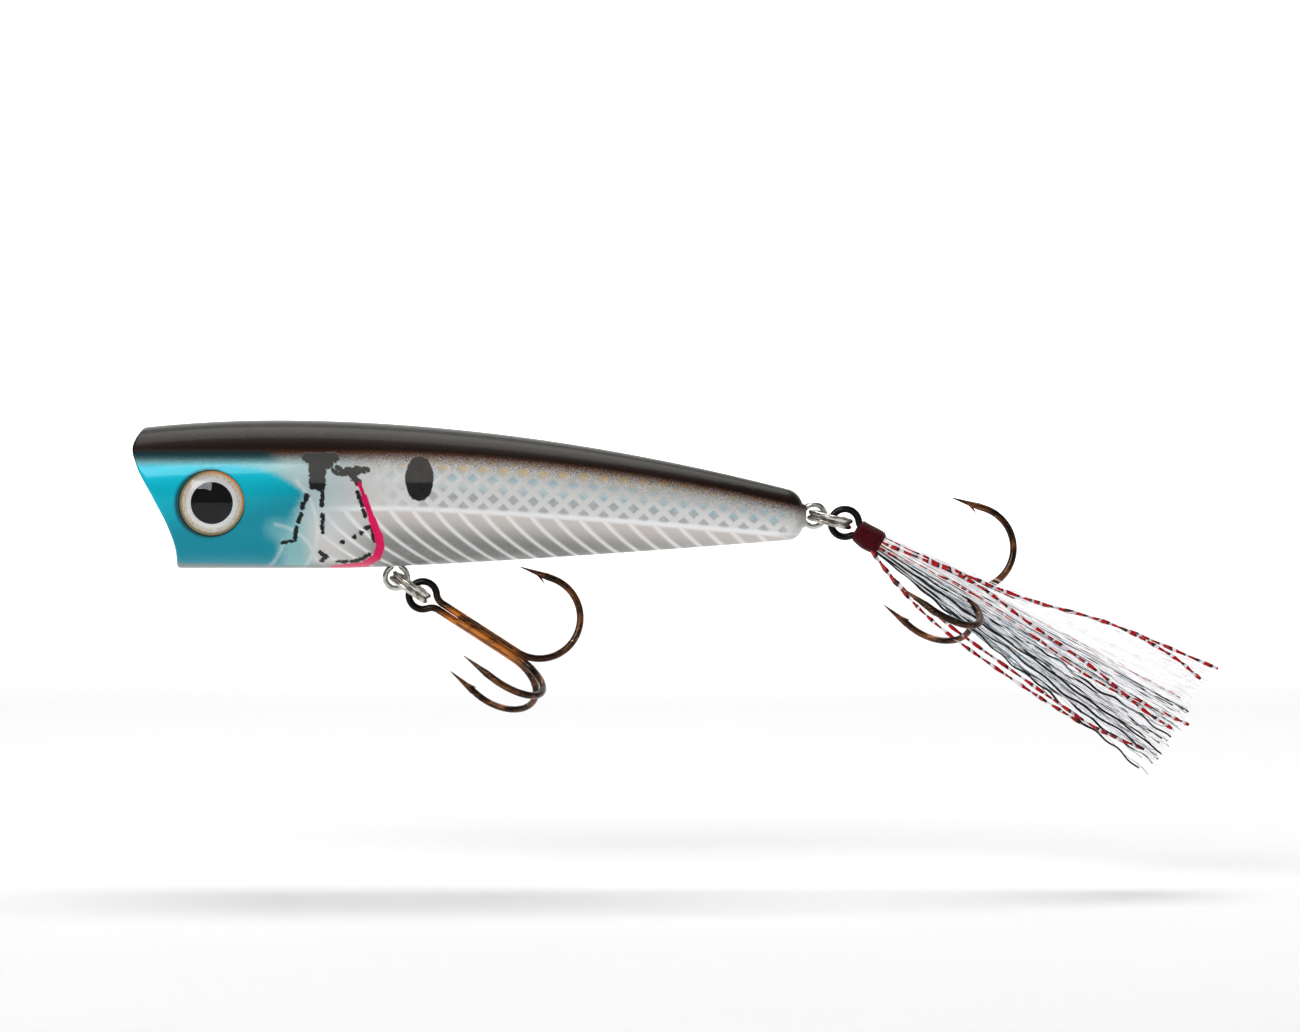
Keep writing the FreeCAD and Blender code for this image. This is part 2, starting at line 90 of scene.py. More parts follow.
class Finish:
    # a material with one Principled shader
    def __init__(self, name, **constants):
        self.material = bpy.data.materials.new(name)
        self.material.use_nodes = True
        self.tree = self.material.node_tree
        self.shader = self.tree.nodes["Principled BSDF"]
        self.feed(**constants)

    # any node: its type, its settings, then what its sockets hold
    def node(self, kind, settings=None, output=0, **entries):
        made = self.tree.nodes.new(kind)
        for key, setting in (settings or {}).items():
            if key == "stops":
                self.stops(made.color_ramp, setting)
            else:
                setattr(made, key, setting)
        for key, item in entries.items():
            numbered = key[0] == "i" and key[1:].isdigit()
            entry = made.inputs[int(key[1:]) if numbered else key.replace("_", " ")]
            plug(self.tree, entry, item)
        return Value(self.tree, made.outputs[output])

    def stops(self, ramp, stops):
        while len(ramp.elements) < len(stops):
            ramp.elements.new(1.0)
        for element, (place, colour) in zip(ramp.elements, stops):
            element.position, element.color = place, (*colour, 1.0)

    def feed(self, **entries):
        for key, item in entries.items():
            entry = self.shader.inputs[key.replace("_", " ")]
            if not isinstance(item, Value) and entry.type == "RGBA":
                item = (*item, 1.0)
            plug(self.tree, entry, item)

    # position on the object in millimetres: x, y, z and the whole vector
    def place(self):
        spot = self.node("ShaderNodeTexCoord", output=3)
        scaled = self.node("ShaderNodeVectorMath", {"operation": "SCALE"}, i0=spot, Scale=1 / mm)
        return self.parts(scaled) + [scaled]

    # the three parts of a vector or colour
    def parts(self, value):
        split = self.tree.nodes.new("ShaderNodeSeparateXYZ")
        plug(self.tree, split.inputs[0], value)
        return [Value(self.tree, out) for out in split.outputs]

    def vector(self, x, y, z):
        return self.node("ShaderNodeCombineXYZ", X=x, Y=y, Z=z)

    def noise(self, vector, scale, detail=2.0, roughness=0.5):
        return self.node("ShaderNodeTexNoise", Vector=vector, Scale=scale, Detail=detail, Roughness=roughness)

    # 0 below low, 1 above high, smooth between
    def step(self, value, low, high):
        return self.node("ShaderNodeMapRange", {"interpolation_type": "SMOOTHSTEP"},
                         Value=value, From_Min=low, From_Max=high)

    def mix(self, factor, first, second):
        colours = [c if isinstance(c, Value) else (*c, 1.0) for c in (first, second)]
        return self.node("ShaderNodeMix", {"data_type": "RGBA"}, output=2,
                         i0=factor, i6=colours[0], i7=colours[1])

    def ramp(self, factor, stops):
        return self.node("ShaderNodeValToRGB", {"stops": stops}, Fac=factor)

    def bump(self, height, strength, distance):
        self.feed(Normal=self.node("ShaderNodeBump", Strength=strength, Distance=distance, Height=height))


# a new mesh piece that rides on a body
def makePiece(name, points, faces, finish, body):
    mesh = bpy.data.meshes.new(name)
    mesh.from_pydata([tuple(p) for p in points], [], faces)
    mesh.polygons.foreach_set("use_smooth", [True] * len(mesh.polygons))
    mesh.materials.append(finish.material)
    mesh.validate()
    piece = bpy.data.objects.new(name, mesh)
    bpy.context.collection.objects.link(piece)
    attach(piece, body)
    return piece


# quads between rows of equally many points
def gridFaces(rows, columns, closed=False, first=0):
    faces = []
    for r in range(rows - 1):
        for c in range(columns if closed else columns - 1):
            here, there = first + r * columns, first + (r + 1) * columns
            following = (c + 1) % columns
            faces.append((here + c, there + c, there + following, here + following))
    return faces


# adds a tube along a path to a list of points and faces; its section is wide and thick, and turns as it goes
def addTube(points, faces, path, radii, sides, turn=0.0):
    first = len(points)
    path = [Vector(p) for p in path]
    up = Vector((0.0, 0.0, 1.0))
    ring = [(math.cos(2 * math.pi * k / sides), math.sin(2 * math.pi * k / sides)) for k in range(sides)]
    for i, (spot, radius) in enumerate(zip(path, radii)):
        ahead = (path[min(i + 1, len(path) - 1)] - path[max(i - 1, 0)]).normalized()
        across = ahead.cross(up).normalized()
        over = across.cross(ahead)
        wide, thick = radius
        c, s = math.cos(turn * i), math.sin(turn * i)
        broad, narrow = across * c + over * s, over * c - across * s
        points += [spot + broad * (wide * u) + narrow * (thick * v) for u, v in ring]
    faces += gridFaces(len(path), sides, closed=True, first=first)
    last = first + (len(path) - 1) * sides
    faces.append(tuple(first + k for k in range(sides)))
    faces.append(tuple(last + k for k in reversed(range(sides))))


def bodyBox(node):
    low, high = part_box(node)
    return Vector(low) / mm, Vector(high) / mm


collar = 0.45      # how far the round collar at the tail hanger stands out
tailEnd = bodyBox("left_body_half")[1].x - collar
hangerLow, hangerHigh = bodyBox("tail_hook_hanger")
tailHanger = (hangerLow + hangerHigh) / 2
body = {
    "backPeakX": 12.3, "backPeak": 9.45, "headDrop": 0.85, "headRun": 16.0,
    "backDrop": 7.9, "backRun": 59.2, "backPower": 1.9,
    "belly": -8.05, "bellyFrom": 20.0, "bellyRise": 3.2, "bellyRun": 51.5, "bellyPower": 1.28,
    "widestX": 14.0, "halfWidth": 7.4, "headNarrow": 0.45, "headWidthRun": 18.0,
    "tailNarrow": 4.6, "tailWidthRun": 57.5, "tailPower": 1.75, "squareness": 2.25, "tailRound": 1.7,
    "rowsAlong": 430, "columnsRound": 150, "rowsInCup": 46, "rimRows": 9, "rimRadius": 0.5,
    "cupCentre": (-2.35, 0.0, -0.15), "cupTilt": 19.0, "cup": (5.3, 6.15, 7.05),
    "lateralFrom": 25.0, "lateralRun": 43.6, "lateralHeight": -0.6, "lateralDrop": 3.1, "lateralPower": 1.4,
    "scaleHigh": 2.2, "scaleLong": 2.36, "scaleStart": 0.5, "ribPitch": 2.55, "tailRows": 12, "capRows": 14,
    "ribDepth": 0.045, "scaleDepth": 0.03, "gillDepth": 0.06, "bossHeight": 0.42, "bossRadius": 1.55,
    "socketRadius": 3.9, "socketClear": 0.35,
    "cellRadius": 1.75, "cellLength": 7.0, "cellAhead": 0.1, "cellLift": 0.12,
}
# the mouth's edge seen from the side, (z, x) from the upper lip to the lower lip
mouthEdge = [(9.9, -2.4), (8.4, -3.95), (6.9, -4.85), (4.7, -4.45),
             (0.9, -2.5), (-2.8, -0.62), (-5.8, 0.3), (-9.0, 0.15)]


def backHeight(x):
    ahead = body["backPeak"] - body["headDrop"] * ((body["backPeakX"] - x) / body["headRun"]) ** 2
    share = np.maximum(x - body["backPeakX"], 0) / body["backRun"]
    behind = body["backPeak"] - body["backDrop"] * share ** body["backPower"]
    return np.where(x < body["backPeakX"], ahead, behind)


def bellyHeight(x):
    share = np.maximum(x - body["bellyFrom"], 0) / body["bellyRun"]
    return body["belly"] + body["bellyRise"] * share ** body["bellyPower"]


def halfWidth(x):
    ahead = body["halfWidth"] - body["headNarrow"] * ((body["widestX"] - x) / body["headWidthRun"]) ** 2
    share = np.maximum(x - body["widestX"], 0) / body["tailWidthRun"]
    behind = body["halfWidth"] - body["tailNarrow"] * share ** body["tailPower"]
    return np.where(x < body["widestX"], ahead, behind)


# smooth curve through the mouth's edge, x for each z
def mouthX(z):
    heights = np.array([p[0] for p in mouthEdge])[::-1]
    places = np.array([p[1] for p in mouthEdge])[::-1]
    slopes = np.gradient(places, heights)
    k = np.clip(np.searchsorted(heights, z) - 1, 0, len(heights) - 2)
    gap = heights[k + 1] - heights[k]
    t = np.clip((z - heights[k]) / gap, 0, 1)
    return ((2 * t**3 - 3 * t**2 + 1) * places[k] + (t**3 - 2 * t**2 + t) * gap * slopes[k]
            + (3 * t**2 - 2 * t**3) * places[k + 1] + (t**3 - t**2) * gap * slopes[k + 1])


# point of the outer skin at x, angle round from the back (0) to the belly (pi)
def skin(x, angle):
    top, bottom = backHeight(x), bellyHeight(x)
    middle, halfHeight = (top + bottom) / 2, (top - bottom) / 2
    power = 2 / body["squareness"]
    rounded = np.clip(tailEnd - x, 0, body["tailRound"])
    inset = body["tailRound"] - rounded
    shrink = body["tailRound"] - np.sqrt(np.maximum(body["tailRound"] ** 2 - inset ** 2, 0))
    c, s = np.cos(angle), np.sin(angle)
    y = (halfWidth(x) - shrink) * np.abs(s) ** power
    z = middle + (halfHeight - shrink) * np.abs(c) ** power * np.sign(c)
    return y, z


# height of the lateral line
def lateralZ(x):
    share = np.maximum(x - body["lateralFrom"], 0) / body["lateralRun"]
    return body["lateralHeight"] - body["lateralDrop"] * share ** body["lateralPower"]


# 1 at whole numbers, falling to 0 at width beside them
def groove(value, width):
    away = np.abs(value - np.round(value))
    return np.clip(1 - away / width, 0, 1)


# gill lines: centre x and z, radius, and the angles between which each one shows
gillArcs = [(9.5, -3.0, 7.6, -70, 48), (7.0, -3.2, 6.2, -80, -10), (11.5, -8.0, 5.5, 10, 85)]


# how much of each pressed-in detail there is: ribs, scale cells, the lateral line and the gill lines
def pressedLines(x, z):
    side = z - lateralZ(x)
    fade = np.clip((x - 16.5) / 4.0, 0, 1) * np.clip((73.0 - x) / 2.0, 0, 1)
    behind = (x - body["lateralFrom"]) / body["lateralRun"]
    lean = x + side * (0.60 + 0.25 * behind) - 0.075 * side * side
    ribs = groove(lean / (body["ribPitch"] + 0.2 * behind), 0.2) * (side < 0) * fade
    row, column = (side - body["scaleStart"]) / body["scaleHigh"], x / body["scaleLong"]
    net = np.maximum(groove(column + row, 0.34), groove(column - row, 0.34))
    show = (side >= 0.25) * np.clip((6.4 - side) / 0.6, 0, 1)
    show = show * np.clip((x - 22.0) / 5.0, 0, 1) * np.clip((73.0 - x) / 2.0, 0, 1)
    scales = np.clip(1.35 - net * 1.9, 0, 1) * show
    line = np.clip(1.3 - np.abs(side) / 0.36, 0, 1) * fade
    gills = np.zeros_like(x)
    for centreX, centreZ, radius, low, high in gillArcs:
        away = np.abs(np.hypot(x - centreX, z - centreZ) - radius)
        turned = np.degrees(np.arctan2(z - centreZ, x - centreX))
        gills = np.maximum(gills, np.clip(1 - away / 0.35, 0, 1) * (turned > low) * (turned < high))
    return ribs, scales, line, gills


# the paint, given by places on the body in millimetres
paintJob = {
    # the colour for the top of the back is olive paint lightened by a painted highlight
    "backTopOliveAndSheen": tint(36, 32, 24), "back": tint(26, 13, 6), "backEdge": tint(78, 42, 20),
    "backGrain": tint(70, 62, 48),
    # the lower rib colour is painted shade of the underside
    "flank": tint(208, 206, 204), "ribTop": tint(204, 197, 192), "ribLowShaded": tint(120, 121, 118),
    # the belly colour is a darker grey that stands for painted shade of the underside
    "pressedLine": tint(244, 244, 245), "belly": tint(126, 128, 124),
    "cellGrey": tint(158, 163, 166), "cellBlue": tint(146, 186, 198), "cellGold": tint(208, 184, 140),
    "speckle": tint(120, 114, 104), "mesh": tint(220, 220, 219),
    "teal": tint(0, 180, 202), "deepTeal": tint(0, 138, 158),
    "aqua": tint(124, 184, 188), "tinge": tint(150, 190, 196),
    "headDark": tint(6, 44, 50), "ink": tint(5, 5, 6), "paleInk": tint(66, 64, 62), "pink": tint(218, 0, 88),
    "spotAt": (29.06, 2.85), "spotSize": (1.7, 2.72), "eyeAt": (4.6, -0.05),
    "deepAt": (10.2, 0.0, -1.6), "patchAt": (12.2, 0.0, -3.1),
    "sprayEdge": 5.67, "sprayFrom": 22.0, "sprayRun": 52, "sprayDrop": 6.63, "sprayPower": 1.9,
}
# printed strokes behind the gill cover: (x, z, x, z, half-width)
inkStrokes = [
    (15.9, 5.3, 19.0, 5.3, 0.5), (16.7, 4.7, 18.3, 4.7, 0.6), (16.7, 4.4, 16.75, 2.2, 0.55),
    (17.4, 4.4, 17.35, 2.1, 0.6),
    (16.4, 1.9, 17.7, 1.8, 0.22),
    (15.86, 0.9, 15.7, 0.45, 0.2), (15.45, -0.1, 15.3, -0.6, 0.18), (15.2, -1.35, 14.85, -2.1, 0.2),
    (14.6, -2.9, 14.4, -4.3, 0.17), (14.1, -4.5, 12.95, -4.74, 0.15),
    (17.7, 1.3, 17.66, -0.3, 0.15), (17.7, -1.4, 17.66, -3.4, 0.14), (17.35, -5.95, 18.1, -6.4, 0.15),
    (18.1, -6.4, 17.4, -7.0, 0.16), (18.9, 3.9, 19.5, 3.4, 0.16), (19.3, 4.2, 19.9, 3.9, 0.18),
    (19.9, 3.5, 20.3, 3.7, 0.3), (20.5, 3.7, 21.6, 3.7, 0.42), (21.6, 4.0, 22.9, 3.9, 0.26),
    (21.1, 3.3, 21.9, 2.4, 0.3), (21.8, 1.25, 22.45, -0.3, 0.2), (22.5, -0.85, 22.7, -1.5, 0.18),
    (23.55, -3.1, 23.75, -4.5, 0.17), (22.75, -2.95, 23.4, -2.8, 0.14), (22.19, -3.56, 22.25, -3.6, 0.2),
    (21.42, -4.04, 21.47, -4.1, 0.16), (20.0, -4.63, 20.1, -4.66, 0.17),
    (23.2, -6.17, 22.2, -6.76, 0.15), (22.0, -6.85, 21.0, -7.1, 0.14), (20.5, -7.1, 19.3, -7.1, 0.13),
]
# the pink line: x, z and half-width at each point
pinkLine = [(22.0, 2.3, 0.12), (22.6, 0.7, 0.26), (23.5, -1.9, 0.38), (24.26, -3.92, 0.46),
            (24.44, -5.22, 0.5), (23.99, -6.5, 0.46), (22.6, -7.45, 0.38), (18.8, -7.9, 0.22)]


# how far two places are apart
def gapFrom(finish, here, there):
    return finish.node("ShaderNodeVectorMath", {"operation": "DISTANCE"}, output=1, i0=here, i1=there)


# how far a place is outside a stroke with round ends
def strokeGap(finish, flat, start, end, width):
    run = Vector((end[0] - start[0], 0.0, end[1] - start[1]))
    away = finish.node("ShaderNodeVectorMath", {"operation": "SUBTRACT"},
                       i0=flat, i1=(start[0], 0.0, start[1]))
    share = finish.node("ShaderNodeVectorMath", {"operation": "DOT_PRODUCT"}, output=1, i0=away,
                        i1=tuple(run / max(run.length_squared, 0.0001)))
    onLine = share.most(0.0).least(1.0)
    foot = finish.node("ShaderNodeVectorMath", {"operation": "SCALE"}, i0=tuple(run), Scale=onLine)
    return gapFrom(finish, away, foot) - width


def paintBody():
    job = paintJob
    paint = Finish("bodyPaint", Coat_Roughness=0.07, Specular_IOR_Level=0.1)
    x, y, z, spot = paint.place()
    flat = paint.vector(x, 0.0, z)
    fine = paint.noise(spot, 9.0, 3.0, 0.6)
    medium = paint.noise(spot, 2.4, 3.0, 0.65)
    grain = paint.noise(paint.vector(x * 1.4, y * 5.0, z * 5.0), 1.0, 4.0, 0.65)
    pressed = paint.node("ShaderNodeAttribute", {"attribute_name": "pressed"})
    gills = paint.node("ShaderNodeAttribute", {"attribute_name": "pressed"}, output=3)
    ribs, scales, line = paint.parts(pressed)

    along = (x - body["lateralFrom"]).most(0.0) * (1 / body["lateralRun"])
    lateral = body["lateralHeight"] - along ** body["lateralPower"] * body["lateralDrop"]
    side = z - lateral

    # silver flank: darker bands between the ribs, painted darker towards the bottom as painted shade of the
    # underside, and small coloured cells in a pale net above them
    band = paint.mix(paint.step(side + medium, 0.2, -3.6), job["ribTop"], job["ribLowShaded"])
    below = paint.mix(paint.step(x, 18.0, 26.0) * (0.62 + medium * 0.5), job["flank"], band)
    cells = paint.ramp(side * (1 / 6.6) + (x - 44.0) * 0.004,
                       [(0.0, job["cellGrey"]), (0.3, job["cellGrey"]), (0.36, job["cellBlue"]),
                        (0.6, job["cellBlue"]), (0.7, job["cellGold"]), (1.0, job["cellGold"])])
    row, column = (side - body["scaleStart"]) * (1 / body["scaleHigh"]), x * (1 / body["scaleLong"])
    cell = abs((column + row).part() - 0.5).most(abs((column - row).part() - 0.5))
    cellShow = (1.0 - paint.step(cell + (fine - 0.5) * 0.14, 0.2, 0.36)) * paint.step(side, 0.1, 0.3)
    cellShow = cellShow * (1.0 - paint.step(side, 5.4, 6.4))
    cellShow = cellShow * paint.step(x, 21.0, 34.0) * (1.0 - paint.step(x, 71.5, 73.0))
    paleRow = paint.step(side, 2.1, 2.9) * (1.0 - paint.step(side, 3.3, 4.1))
    cellShow = cellShow * (0.3 + medium * 0.9) * (1.0 - paleRow * 0.6)
    above = paint.mix(paint.step(x, 20.0, 28.0), job["flank"], job["mesh"])
    # height of the back paint's lower edge
    along = (x - job["sprayFrom"]).most(0.0) * (1 / job["sprayRun"])
    low = job["sprayEdge"] - along ** job["sprayPower"] * job["sprayDrop"]
    speckled = paint.step(fine, 0.32, 0.66) * paint.step(z - low, -3.4, 0.0)
    above = paint.mix(speckled * 0.95, above, job["speckle"])
    above = paint.mix(cellShow, above, cells)
    flank = paint.mix(paint.step(side, -0.1, 0.1), below, above)
    # painted shade: the strip along the belly takes the darker belly grey
    pale = paint.mix(paint.step(z + x * 0.02, -6.4, -7.6), flank, job["belly"])
    coat = paint.mix(ribs.most(line).least(1.0) * (0.75 + medium * 0.3), pale, job["pressedLine"])

    # teal head: a lobe behind the eye, deeper low down, with a pale band under the back
    tinge = 1.0 - paint.step(x + medium * 3.0, 17.0, 26.0)
    tinge = tinge * paint.step(z, -8.0, -1.0) * paint.step(side, -6.0, 1.5)
    coat = paint.mix(tinge * 0.62, coat, job["tinge"])
    lobeTop = 4.55 - ((x - 7.0).most(0.0) * (1 / 9.0)) ** 2.0 * 3.6
    lobeBack = 16.0 - (1.0 - z).most(0.0).least(5.0) * 0.62
    lobe = 1.0 - paint.step(z - lobeTop + medium * 0.8, -0.2, 0.9)
    lobe = lobe * (1.0 - paint.step(x - lobeBack + medium * 1.6, -0.6, 1.8))
    edge = 1.0 - paint.step(x + (z + 8.0) * (z + 8.0) * 0.024 - 16.6 + medium * 0.8, -1.5, 1.6)
    aquaHead = paint.mix(edge * 0.9, coat, job["aqua"])
    deepSpot = 1.0 - paint.step(gapFrom(paint, flat, job["deepAt"]), 0.6, 2.6)
    depth = (1.0 - paint.step(z - x * 0.22 + medium * 2.0, -3.2, 1.8)).most(deepSpot * 0.8)
    teal = paint.mix(depth, job["teal"], job["deepTeal"])
    patch = 1.0 - paint.step(gapFrom(paint, flat, job["patchAt"]) + medium, 0.8, 2.6)
    teal = paint.mix(patch * 0.55, teal, job["aqua"])
    coat = paint.mix(lobe, aquaHead, teal)
    coat = paint.mix(gills * 0.34, coat, job["pressedLine"])
    # painted shadow: a dark teal ring round the eye socket, wider on its front side
    across, up = x - job["eyeAt"][0], z - job["eyeAt"][1]
    eyeShadowReach = (across * across + up * up).root()
    coat = paint.mix((1.0 - paint.step(eyeShadowReach + across * 0.06, 3.85, 4.35)) * 0.85, coat, job["headDark"])
    # painted shade: the darker belly grey also runs along the bottom edge, over the head
    coat = paint.mix(paint.step(z + x * 0.02, -7.1, -7.5) * 0.8, coat, job["belly"])

    # printed marks, with worn edges
    wear = (medium - 0.5) * 0.75 + (fine - 0.5) * 0.35
    gap = None
    for x1, z1, x2, z2, width in inkStrokes:
        one = strokeGap(paint, flat, (x1, z1), (x2, z2), width)
        gap = one if gap is None else gap.least(one)
    ink = 1.0 - paint.step(gap + wear, 0.04, 0.17)
    spotX, spotZ = job["spotAt"]
    wideX, wideZ = job["spotSize"]
    ring = (((x - spotX) / wideX) ** 2.0 + ((z - spotZ) / wideZ) ** 2.0).root()
    ink = ink.most(1.0 - paint.step(ring + wear * 0.3, 0.94, 1.02))
    inkColour = paint.mix(paint.step(z + wear * 0.3, 2.2, 2.6), job["ink"], job["paleInk"])
    coat = paint.mix(ink * 0.98, coat, inkColour)
    gap = None
    for first, second in zip(pinkLine, pinkLine[1:]):
        one = strokeGap(paint, flat, first[:2], second[:2], (first[2] + second[2]) / 2)
        gap = one if gap is None else gap.least(one)
    coat = paint.mix(1.0 - paint.step(gap + wear * 0.2, -0.04, 0.1), coat, job["pink"])

    # dark back, sprayed on last: brown at its speckled lower edge, then nearly black, and olive on top, which
    # is partly paint and partly a painted highlight of the overhead light
    behind = (x - body["backPeakX"]).most(0.0) * (1 / body["backRun"])
    high = body["backPeak"] - behind ** body["backPower"] * body["backDrop"]
    height = (z - low) / (high - low).most(0.3)
    sprayed = paint.step(z - low + (fine - 0.5) * 1.5, -1.2, 0.4)
    dark = paint.ramp(height + (medium - 0.5) * 0.12,
                      [(0.0, job["backEdge"]), (0.2, job["back"]), (0.5, job["back"]),
                       (0.78, job["backTopOliveAndSheen"]), (1.0, job["backTopOliveAndSheen"])])
    dark = paint.mix(edge * (1.0 - paint.step(height, 0.02, 0.2)), dark, job["headDark"])
    dark = paint.mix(paint.step(grain, 0.5, 0.8) * paint.step(height, 0.1, 0.8) * 0.6, dark, job["backGrain"])
    fadeDown = paint.step(z - low + fine * 0.8, -1.0, 0.5) * edge
    coat = paint.mix(fadeDown * 0.85, coat, job["headDark"])
    coat = paint.mix(sprayed * (1.0 - ink), coat, dark)

    paint.feed(Base_Color=coat, Metallic=(1.0 - sprayed) * (1.0 - ink) * 0.22, Roughness=0.3 + fine * 0.15,
               Coat_Weight=0.26 - sprayed.most(ink) * 0.18)
    paint.bump(grain * sprayed + fine * 0.25, 0.10, 0.0001)
    return paint


bodyPaint = paintBody()
print("body paint made")


# rows of points from the bottom of the mouth cup, over the lip and along the skin to the tail
def bodyRows():
    angle = np.linspace(0.0, math.pi, body["columnsRound"])
    lipX = np.full_like(angle, -3.0)
    for _ in range(12):
        lipX = mouthX(skin(lipX, angle)[1])
    lipY, lipZ = skin(lipX, angle)
    lip = np.stack([lipX, lipY, lipZ], -1)

    centre, tilt = body["cupCentre"], math.radians(body["cupTilt"])
    deep, wide, high = body["cup"]

    # polar is 0 at the cup's bottom
    def cup(polar):
        x, away = deep * np.cos(polar), np.sin(polar)
        y, z = wide * away * np.sin(angle), high * away * np.cos(angle)
        return np.stack([centre[0] + x * math.cos(tilt) - z * math.sin(tilt), y,
                         centre[2] + x * math.sin(tilt) + z * math.cos(tilt)], -1)

    inside, outside = np.full_like(angle, math.radians(45)), np.full_like(angle, math.radians(135))
    for _ in range(30):
        half = (inside + outside) / 2
        spot = cup(half)
        within = spot[:, 0] > mouthX(spot[:, 2])
        inside, outside = np.where(within, half, inside), np.where(within, outside, half)
    edge = cup(inside)

    def bend(a, corner, b, t):
        return a * (1 - t) ** 2 + corner * 2 * t * (1 - t) + b * t * t

    rows = [cup(inside * (t ** 0.85) * 0.97) for t in np.linspace(0.0, 1.0, body["rowsInCup"])]
    land = lip - edge
    landWidth = np.linalg.norm(land, axis=1, keepdims=True)
    turnIn = edge + land * 0.25
    turnOut = lip - land / landWidth * np.minimum(body["rimRadius"], landWidth * 0.45)
    rows += [bend(rows[-1], edge, turnIn, t) for t in np.linspace(0, 1, body["rimRows"])[1:]]
    backX = lipX + body["rimRadius"]
    back = np.stack([backX, *skin(backX, angle)], -1)
    rows += [bend(turnOut, lip, back, t) for t in np.linspace(0, 1, body["rimRows"])]

    along = np.linspace(0, 1, body["rowsAlong"])[1:]
    straightEnd = tailEnd - body["tailRound"]
    for t in along:
        x = backX + (straightEnd - backX) * t
        rows.append(np.stack([x, *skin(x, angle)], -1))
    for t in np.linspace(0, math.pi / 2, body["tailRows"])[1:]:
        x = np.full_like(angle, straightEnd + body["tailRound"] * math.sin(t))
        rows.append(np.stack([x, *skin(x, angle)], -1))
    last = rows[-1]
    middle = np.array([tailEnd, 0.0, (last[0, 2] + last[-1, 2]) / 2])
    rows += [middle + (last - middle) * (1 - t) for t in np.linspace(0, 1, body["capRows"])[1:]]
    return rows


# the small round boss where the tail hanger comes out
def bossLift(points):
    away = np.hypot(points[:, 1], points[:, 2] - tailHanger.z)
    lift = body["bossHeight"] * np.clip((body["bossRadius"] - away) / 0.3, 0, 1)
    return np.where(points[:, 0] > tailEnd - 0.05, lift, 0)


def makeBodyHalf(name, side, node):
    rows = bodyRows()
    flat = np.concatenate(rows)
    flat[:, 0] += bossLift(flat)
    columns = body["columnsRound"]
    sideways = np.clip(np.abs(flat[:, 1]) / 7.0, 0, 1)      # the relief fades out towards the back and belly
    ribs, scales, line, gills = pressedLines(flat[:, 0], flat[:, 2])
    onSkin = np.zeros(len(rows) * columns)
    onSkin[(body["rowsInCup"] + 2 * body["rimRows"]) * columns:] = 1.0
    lift = ribs * body["ribDepth"] + (line - scales) * body["scaleDepth"] + gills * body["gillDepth"]
    flat[:, 1] += lift * onSkin * sideways
    flat[:, 1] *= side
    faces = gridFaces(len(rows), columns)
    if side > 0:
        faces = [tuple(reversed(f)) for f in faces]
    rim = [r * columns for r in range(len(rows))]
    rim += [r * columns + columns - 1 for r in reversed(range(len(rows) - 1))]
    faces.append(tuple(rim if side < 0 else reversed(rim)))
    half = makePiece(name, flat * mm, faces, bodyPaint, "root")
    tidy(half)
    cutSocket(half, side)
    cutCells(half)
    addPressed(half)
    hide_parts(node)
    print(name, len(half.data.polygons), "faces")


# joins doubled points and points every face outwards
def tidy(piece):
    shape = bmesh.new()
    shape.from_mesh(piece.data)
    bmesh.ops.remove_doubles(shape, verts=shape.verts, dist=0.0004 * mm)
    bmesh.ops.recalc_face_normals(shape, faces=shape.faces)
    shape.to_mesh(piece.data)
    shape.free()


# takes a shape away from a body half
def cutAway(half, cutter):
    cut = half.modifiers.new("cut", "BOOLEAN")
    cut.object, cut.operation, cut.solver = cutter, "DIFFERENCE", "EXACT"
    bpy.context.view_layer.objects.active = half
    bpy.ops.object.modifier_apply(modifier=cut.name)
    bpy.data.objects.remove(cutter)


# the round socket that the eye foil and lens sit in
def cutSocket(half, side):
    low, high = bodyBox("left_eye_foil" if side < 0 else "right_eye_foil")
    centre, depth = (low + high) / 2, 6.0
    floor = (high.y if side < 0 else low.y) - side * body["socketClear"]
    bpy.ops.mesh.primitive_cylinder_add(
        vertices=128, radius=body["socketRadius"] * mm, depth=depth * mm, rotation=(math.pi / 2, 0, 0),
        location=Vector((centre.x, floor + side * depth / 2, centre.z)) * mm)
    cutAway(half, bpy.context.object)


# the three cells inside that the rattle balls roll in
def cutCells(half):
    for number in (1, 2, 3):
        low, high = bodyBox("rattle_ball_" + str(number))
        middleX = low.x - body["cellAhead"] + body["cellLength"] / 2
        middleZ = (low.z + high.z) / 2 + body["cellLift"]
        bpy.ops.mesh.primitive_cylinder_add(
            vertices=64, radius=body["cellRadius"] * mm, depth=body["cellLength"] * mm,
            rotation=(0, math.pi / 2, 0), location=Vector((middleX, 0.0, middleZ)) * mm)
        cutAway(half, bpy.context.object)


# the pressed lines are kept on the mesh, for the paint to follow
def addPressed(half):
    mesh = half.data
    spots = np.empty(len(mesh.vertices) * 3)
    mesh.vertices.foreach_get("co", spots)
    spots = spots.reshape(-1, 3) / mm
    ribs, scales, line, gills = pressedLines(spots[:, 0], spots[:, 2])
    colours = np.stack([ribs, scales, line, gills], -1)
    layer = mesh.attributes.new("pressed", "FLOAT_COLOR", "POINT")
    layer.data.foreach_set("color", colours.ravel())


for side, which in ((-1, "left"), (1, "right")):
    makeBodyHalf(which + "BodyShell", side, which + "_body_half")


# gives a CAD node its finish
def dress(finish, *nodes):
    for node in nodes:
        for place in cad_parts[node].material_slots:
            place.material = finish.material


eye = {
    "pupil": tint(5, 6, 8), "innerRing": tint(255, 255, 255),
    "pearl": tint(244, 248, 248), "pearlShift": tint(226, 202, 158),
    "rim": tint(172, 158, 118), "rimOrange": tint(236, 170, 96),
    "pupilRadius": 2.49, "ringRadius": 3.0, "pearlRadius": 3.5,
}


